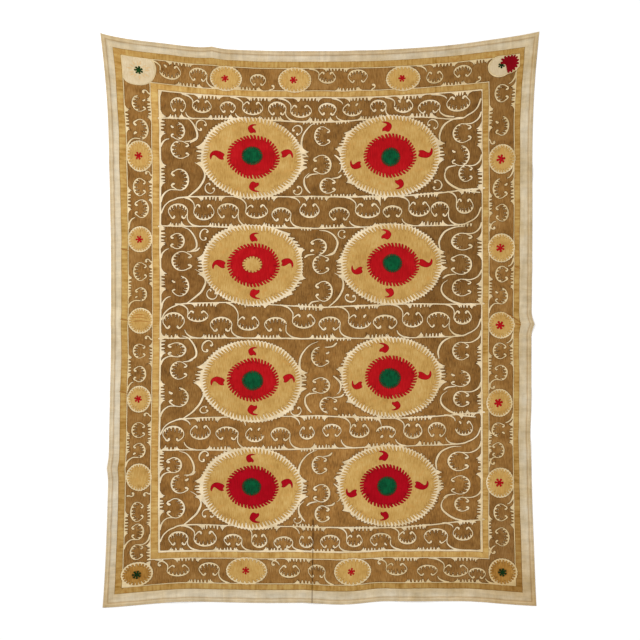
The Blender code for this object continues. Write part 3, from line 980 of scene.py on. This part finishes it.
outline("bare", curved(about(ROUNDED, -765, 1008, 0.97), 4)[:-1])
outline("pale", curved(about(ROUNDED, -741, 970, 0.93), 4)[:-1])
for k in range(14):
    angle = math.radians(25 * k + hand.uniform(-8, 8))
    near, far = (0.024, 0.036) if k % 2 else (0.021, 0.031)
    c, s = math.cos(angle), math.sin(angle)
    ray = [(-0.708 + c * r * 1.2, 0.957 + s * r) for r in (near, (near + far) / 2, far)]
    stroke("straw", ray, [0.0028, 0.0020, 0.0010])
star("dark_green", -0.708, 0.957, 0.0165, 7)
BEHIND_FAN = ((716, 1008), (781, 1010), (783, 960), (768, 944), (744, 936))
outline("bare", [metres(*point) for point in BEHIND_FAN])
ring(0.716, 0.970, 0.040, 0.038, (4,) * 8, (0,) * 8)
rosette("pale", 0.716, 0.970, 0.040, 0.038, 22, 0.002, 0.8)
star("dark_green", 0.721, 0.974, 0.013, 6)
TIPS = (
    (714, 984), (716, 1000), (728, 1010), (741, 1011), (755, 1012), (767, 1010), (776, 1001), (782, 987),
    (782, 972), (777, 958), (768, 947), (757, 938), (745, 936),
)
fan = []
for (ax, ay), (bx, by) in zip(TIPS, TIPS[1:]):
    fan.append((ax * 0.80 + bx * 0.20, ay * 0.80 + by * 0.20))
    fan.append(((ax + bx) * 0.39 + 748 * 0.22, (ay + by) * 0.39 + 978 * 0.22))
    fan.append((ax * 0.20 + bx * 0.80, ay * 0.20 + by * 0.80))
fan += [(741, 940), (738, 953), (736, 965), (732, 975), (724, 978), (715, 979)]
outline("bare", about(fan, 741, 978, 1.00))
outline("crimson", about(fan, 741, 978, 0.94))
for u, v, wide, high, across in ((-0.716, -1.004, 0.052, 0.042, -1), (0.728, -1.000, 0.048, 0.048, 1)):
    side = SIDES["left" if across < 0 else "right"]
    inner = side.place + side.inward * (side.plain + side.outer_band)
    foot = SIDES["bottom"].place + SIDES["bottom"].plain + SIDES["bottom"].outer_band
    outline("bare", [(inner, foot), (inner, v), (u, v), (u, foot)])
    ring(u, v, wide, high, (5,) * 8, (1,) * 8)
    rosette("ochre", u, v, wide, high, 24, 0.0095, 0.62, 0.1)
    star("dark_green", u, v - 0.002, 0.0165, 7)

# --- The stitching --------------------------------------------------------------------------------------
# Untwisted silk and cotton threads, laid up and down the cloth side by
# side and tied down with tiny slanting stitches of the same thread.
# They fill the drawn shapes and stand about 0.8 mm proud of the cotton.

# Each thread's finish slot, and its colours from dark to light, where the dye took unevenly, with the
# tint of odd strands and the painted shade of the rim, where the outermost strands turn down to the cotton.
# Then how wide the strands and the patches of colour are. The laid strands are about 1 mm apart, drawn here
# three times as coarse so that they show; the bands' are drawn coarser still, as their dye is streaked.
Tone = namedtuple("Tone", "slot dark middle light tint rim strand patch")
TONES = {
    "band": Tone("gold_thread", "#A2762F", "#C49A56", "#D4B26C", "#BC8640", "#84591E", 0.0085, 0.045),
    "gold": Tone("gold_thread", "#AC8140", "#C39A55", "#D2AF6D", "#C8954E", "#9C7234", 0.0030, 0.070),
    "brown": Tone("brown_thread", "#61411D", "#865E2E", "#9F7742", "#8D5E2A", "#3E240A", 0.0030, 0.060),
    "red": Tone("red_thread", "#9C0A10", "#B00E15", "#BE191E", "#A60C13", "#66060C", 0.0040, 0.080),
    "green": Tone("green_thread", "#043A20", "#06502E", "#0A6238", "#06301C", "#1E1A08", 0.0035, 0.030),
    "dark_green": Tone("green_thread", "#0A220A", "#123210", "#1E481A", "#0A220A", "#081A08", 0.0035, 0.03),
    "pale": Tone("cream_cotton", "#C4AE88", "#D2BD98", "#DCCAA8", "#D4B88E", "#C2AE82", 0.0030, 0.030),
    "tan": Tone("brown_thread", "#6E4A20", "#906633", "#A87F49", "#9A6A30", "#452A0C", 0.0030, 0.060),
    "straw": Tone("cream_cotton", "#CBA674", "#D6B383", "#DFC094", "#D2A670", "#D2B186", 0.0030, 0.030),
    "fold_mark": Tone("gold_thread", "#9A6228", "#AE7434", "#BE8644", "#9A5C24", "#9A6A30", 0.0030, 0.030),
    "crimson": Tone("red_thread", "#960310", "#A60416", "#B2081C", "#9C0412", "#5E030A", 0.0040, 0.080),
    "ochre": Tone("gold_thread", "#86591F", "#A67634", "#BA8E4A", "#9C6A2C", "#6E4716", 0.0030, 0.060),
    "edging": Tone("gold_thread", "#956C28", "#B58C4C", "#C4A35F", "#AC7836", "#74501A", 0.0085, 0.045),
}
THREADS = ("bare", *TONES)

THREAD_TOP = 0.00215    # heights over the cloth's underside: of the laid strands,
THREAD_RIM = 0.00175    # of the outermost ones,
THREAD_FOOT = 0.0010    # and of their foot, which is sunk in the cotton
RIM_WIDTH = 0.0028      # how far in from a rim the full height is reached

plan_points, plan_lines = [], []


def add_to_plan(points, closed=True):
    start = len(plan_points)
    plan_points.extend(map(tuple, points))
    count = len(points)
    plan_lines.extend((start + k, start + (k + 1) % count) for k in range(count if closed else count - 1))


def fine(points, longest=0.012):
    """The same closed line with no stretch longer than that."""
    found = []
    for a, b in zip(points, np.roll(points, -1, axis=0)):
        count = max(1, math.ceil(np.linalg.norm(b - a) / longest))
        found += [a + (b - a) * k / count for k in range(count)]
    return np.array(found)


# The free points keep the mesh even: a line on each side of every rim and seam, and the cloth's own grid.
shapes = []
free_points = []
for thread, points in drawn:
    points = drift(fine(points))
    shapes.append((thread, points))
    add_to_plan(points)
    free_points.extend(map(tuple, beside(points, RIM_WIDTH)))
    free_points.extend(map(tuple, beside(points, -RIM_WIDTH)))
rows = row_lines()
for number in range(len(SEAMS) + 1):
    for row in rows[4:-4]:
        free_points.extend(crossing(column, row) for column in column_lines(number)[1:-1])
seam_lines = []
for seam in SEAMS:
    seam_lines.append(np.array([crossing(tuple(seam), row) for row in rows]))
    add_to_plan(seam_lines[-1], closed=False)
    for off in (-0.0055, -0.0015, 0.0015, 0.0055):
        free_points.extend(map(tuple, seam_lines[-1] + (off, 0)))

flat_points, _, triangles, *_ = delaunay_2d_cdt(
    [Vector(point) for point in plan_points + free_points], plan_lines, [], 0, 1e-6, False
)
flat_points = np.array([tuple(point) for point in flat_points])
triangles = np.array([face for face in triangles if len(face) == 3], np.int64)
middles = flat_points[triangles].mean(axis=1)
order = np.argsort(middles[:, 1])
sorted_v = middles[order, 1]
thread_of = np.zeros(len(triangles), np.int8)
for thread, points in shapes:
    low, high = points.min(axis=0), points.max(axis=0)
    near = order[np.searchsorted(sorted_v, low[1]) : np.searchsorted(sorted_v, high[1])]
    near = near[(middles[near, 0] > low[0]) & (middles[near, 0] < high[0])]
    winding = np.zeros(len(near), np.int32)
    x, y = middles[near, 0], middles[near, 1]
    for (ax, ay), (bx, by) in zip(points, np.roll(points, -1, axis=0)):
        side = (bx - ax) * (y - ay) - (by - ay) * (x - ax)
        winding += ((ay <= y) & (by > y) & (side > 0)).astype(np.int32)
        winding -= ((ay > y) & (by <= y) & (side < 0)).astype(np.int32)
    thread_of[near[winding != 0]] = THREADS.index(thread)

panel_of = np.zeros(len(triangles), np.int8)
for line in seam_lines:
    panel_of += middles[:, 0] > np.interp(middles[:, 1], line[:, 1], line[:, 0])

# A point is on a rim where two threads, or thread and bare cotton, meet.
least = np.full(len(flat_points), len(THREADS), np.int8)
most = np.zeros(len(flat_points), np.int8)
np.minimum.at(least, triangles.ravel(), np.repeat(thread_of, 3))
np.maximum.at(most, triangles.ravel(), np.repeat(thread_of, 3))
rim_points = (least != most).astype(np.float32)
# Along the gap in the middle seam the threads take the rims' painted shade as well.
rim_points = np.maximum(rim_points, seam_gap_shadow(flat_points))
cloth_under = lift(flat_points) - furrow(flat_points)
cloth_flat = laid(flat_points)

# The bands are stitched across their width, so on the side bands the strands lie the other way.
sideways = np.zeros(len(flat_points), bool)
for side in (SIDES["left"], SIDES["right"]):
    off = inset(side, flat_points)
    scrolls = side.plain + side.outer_band
    ends = np.minimum(inset(SIDES["top"], flat_points), inset(SIDES["bottom"], flat_points))
    sideways |= (off < scrolls + 0.004) & (ends > off)
    inner = scrolls + side.scrolls + side.inner_band
    sideways |= (off > scrolls + 0.03) & (off < inner + 0.004) & (ends > off)

thread_pieces = [[] for _ in loom_widths]
for number in range(len(loom_widths)):
    for index, thread in enumerate(THREADS[1:], 1):
        chosen = triangles[(thread_of == index) & (panel_of == number)]
        if len(chosen) == 0:
            continue
        used, local = np.unique(chosen, return_inverse=True)
        local = local.reshape(-1, 3)
        count = len(used)
        high = np.where(rim_points[used] > 0, THREAD_RIM, THREAD_TOP)
        top = np.column_stack([cloth_flat[used], cloth_under[used] + high])
        foot = np.column_stack([cloth_flat[used], cloth_under[used] + THREAD_FOOT])
        pairs = np.concatenate([local[:, [0, 1]], local[:, [1, 2]], local[:, [2, 0]]])
        keys = pairs[:, 0] * count + pairs[:, 1]
        back = pairs[:, 1] * count + pairs[:, 0]
        edge = pairs[~np.isin(keys, back)]
        faces = local.tolist() + (local[:, ::-1] + count).tolist()
        faces += [(b, a, a + count, b + count) for a, b in edge.tolist()]
        laid_along = flat_points[used]
        if thread in ("band", "edging"):
            laid_along = np.where(sideways[used, None], laid_along[:, ::-1], laid_along)
        name = f"loom_width_{number + 1}_{thread}_thread"
        piece = mesh_object(name, np.vstack([top, foot]), faces, np.vstack([laid_along] * 2))
        # The rims' painted shade, where the strands turn down to the cotton and along the gap in the middle
        # seam; gold takes it only where it meets bare cotton.
        dark = rim_points[used] * (least[used] == 0 if thread == "gold" else 1)
        rim = piece.data.attributes.new("rim", "FLOAT", "POINT")
        rim.data.foreach_set("value", np.concatenate([dark, np.ones(count)]))
        piece.data.set_sharp_from_angle(angle=SHARP)
        thread_pieces[number].append((thread, piece))

# Where a thread has faded, or is soiled, over a wide area, and the gold bands' painted light and shade:
# they are lighter on the left and darker on the right, as if lit from the left, and darker along the top,
# against the key light.
# The middle of each area, how far it reaches in metres, and how many times as much red, green and blue its
# middle gives back.
FADED_AND_SHADED = {
    "brown": (
        (0.02, -0.56, 0.80, (1.42, 1.42, 1.42)), (0.50, 0.44, 0.50, (0.84, 0.84, 0.84)),
        (-0.52, -0.66, 0.34, (1.15, 1.13, 1.10)), (0.55, -0.62, 0.34, (1.10, 1.08, 1.04)),
        (0.50, 0.10, 0.24, (0.88, 0.86, 0.84)), (-0.55, 0.14, 0.26, (0.90, 0.86, 0.84)),
        (-0.55, 0.50, 0.34, (0.93, 0.91, 0.89)),
    ),
    "gold": ((0.00, -0.72, 0.55, (1.08, 1.08, 1.06)),),
    "crimson": ((0.75, 1.03, 0.16, (0.56, 0.50, 0.60)),),
    # Of the edging's areas, the second is painted light on the left side and the third painted shade at the
    # top.
    "edging": (
        (0.85, -1.12, 0.75, (0.70, 0.62, 0.54)), (-0.82, 0.30, 0.95, (1.10, 1.16, 1.20)),
        (-0.50, 1.12, 0.45, (0.92, 0.92, 0.92)),
    ),
    "tan": (
        (0.76, 0.98, 0.50, (0.86, 0.86, 0.86)), (0.10, -1.04, 0.60, (1.12, 1.12, 1.12)),
        (0.75, -0.95, 0.45, (0.86, 0.86, 0.92)),
    ),
    # Of the band's areas, the third and fourth are painted shade on the right side and the fifth painted
    # shade at the top.
    "band": (
        (-0.85, -1.15, 0.55, (0.88, 0.88, 0.88)), (0.85, 1.12, 0.60, (0.72, 0.72, 0.72)),
        (0.80, 0.30, 0.60, (0.86, 0.86, 0.86)), (0.80, -0.50, 0.60, (0.86, 0.86, 0.86)),
        (0.20, 0.95, 0.70, (0.92, 0.92, 0.94)),
    ),
}
# Silk and cotton floss, untwisted and plant-dyed. The eye gets a soft, nearly matte finish, in ribs that
# follow the strands, with a painted shade at a rim, where the strands turn down to the cotton.
finishes = {}
for thread, tone in TONES.items():
    silk, shader = new_finish(f"couched_{thread}_silk", 0.82, 0.02)
    cut = add_node(silk, "UVMap", {}, uv_map="cut")
    lengthwise = (1 / tone.strand, 1 / (tone.strand * 8), 1)
    stretched = add_node(silk, "Mapping", {"Vector": cut, "Scale": lengthwise})
    strands = add_node(silk, "TexNoise", {"Vector": stretched, "Scale": 1.0, "Detail": 3.0})
    patches = {"Vector": cut, "Scale": 1 / tone.patch, "Detail": 5.0, "Roughness": 0.65}
    patches = add_node(silk, "TexNoise", patches)
    mixed = add_node(silk, "Math", {0: strands, 1: patches}, operation="ADD")
    spread = add_node(silk, "MapRange", {"Value": mixed, "From Min": 0.70, "From Max": 1.30})
    tones = ((0.0, tone.dark), (0.5, tone.middle), (1.0, tone.light))
    toned = add_node(silk, "ValToRGB", {"Fac": spread}, stops=tones)
    stray = {"Vector": cut, "Scale": 38.0, "Detail": 3.0, "Roughness": 0.7}
    stray = add_node(silk, "TexNoise", stray)
    where = add_node(silk, "MapRange", {"Value": stray, "From Min": 0.54, "From Max": 0.70, "To Max": 0.7})
    tinted = add_node(silk, "Mix", {0: where, 6: toned, 7: linear(tone.tint)}, output=2, data_type="RGBA")
    # Painted shade at the rims, mixed in towards the rim colour.
    rim = add_node(silk, "Attribute", {}, output="Fac", attribute_name="rim")
    rim_shade_mix = add_node(silk, "MapRange", {"Value": rim, "To Max": 0.85})
    shown = add_node(silk, "Mix", {0: rim_shade_mix, 6: tinted, 7: linear(tone.rim)}, output=2, data_type="RGBA")
    place = add_node(silk, "TexCoord", {}, output="Object")
    for area in FADED_AND_SHADED.get(thread, ()):
        shown = stained_and_shaded(silk, place, shown, *area)
    silk.node_tree.links.new(shown, shader.inputs["Base Color"])
    ribs = add_node(silk, "Bump", {"Height": strands, "Strength": 0.45, "Distance": 0.0008})
    silk.node_tree.links.new(ribs, shader.inputs["Normal"])
    finishes[thread] = silk

for number, panel in enumerate(loom_widths):
    for thread, piece in thread_pieces[number]:
        piece.data.materials.append(finishes[thread])
        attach(piece, "root")
    columns = column_lines(number)
    width = sum(columns[-1]) / 2 - sum(columns[0]) / 2

# --- The studio -----------------------------------------------------------------------------------------
# The cloth lies on a plain white floor under two very large soft lights, the
# stronger one to its upper left, and is seen from straight above.

bpy.ops.object.select_all(action="DESELECT")
bpy.ops.mesh.primitive_plane_add(size=14)
floor = bpy.context.object
floor.name = "floor"
white, shader = new_finish("white_paint", 0.9)
shader.inputs["Base Color"].default_value = linear("#FFFFFF")
shader.inputs["Emission Color"].default_value = (1, 1, 1, 1)
shader.inputs["Emission Strength"].default_value = 0.12
floor.data.materials.append(white)
floor.location.z = -0.0005


def soft_light(name, place, size, power):
    light = bpy.data.objects.new(name, bpy.data.lights.new(name, "AREA"))
    light.data.size = size
    light.data.energy = power
    light.location = place
    light.rotation_euler = (-Vector(place)).to_track_quat("-Z", "Y").to_euler()
    bpy.context.scene.collection.objects.link(light)


soft_light("key_light", (-2.2, 1.8, 3.6), 3.0, 132)
soft_light("fill_light", (2.2, -1.4, 3.2), 3.0, 42)
sky = bpy.data.worlds.new("studio")
bpy.context.scene.world = sky
sky.use_nodes = True
sky.node_tree.nodes["Background"].inputs["Color"].default_value = (1, 1, 1, 1)
sky.node_tree.nodes["Background"].inputs["Strength"].default_value = 0.42

# How high the camera is and how much of the floor its frame spans, in metres, and its sensor, in mm.
HEIGHT, SPAN, SENSOR = 6.0, 2.56, 36
camera = bpy.data.objects.new("camera", bpy.data.cameras.new("camera"))
camera.data.sensor_width = SENSOR
camera.data.lens = SENSOR * HEIGHT / SPAN
camera.location = (0.0008, -0.0016, HEIGHT)
bpy.context.scene.collection.objects.link(camera)
bpy.context.scene.camera = camera
bpy.context.scene.view_settings.view_transform = "Standard"
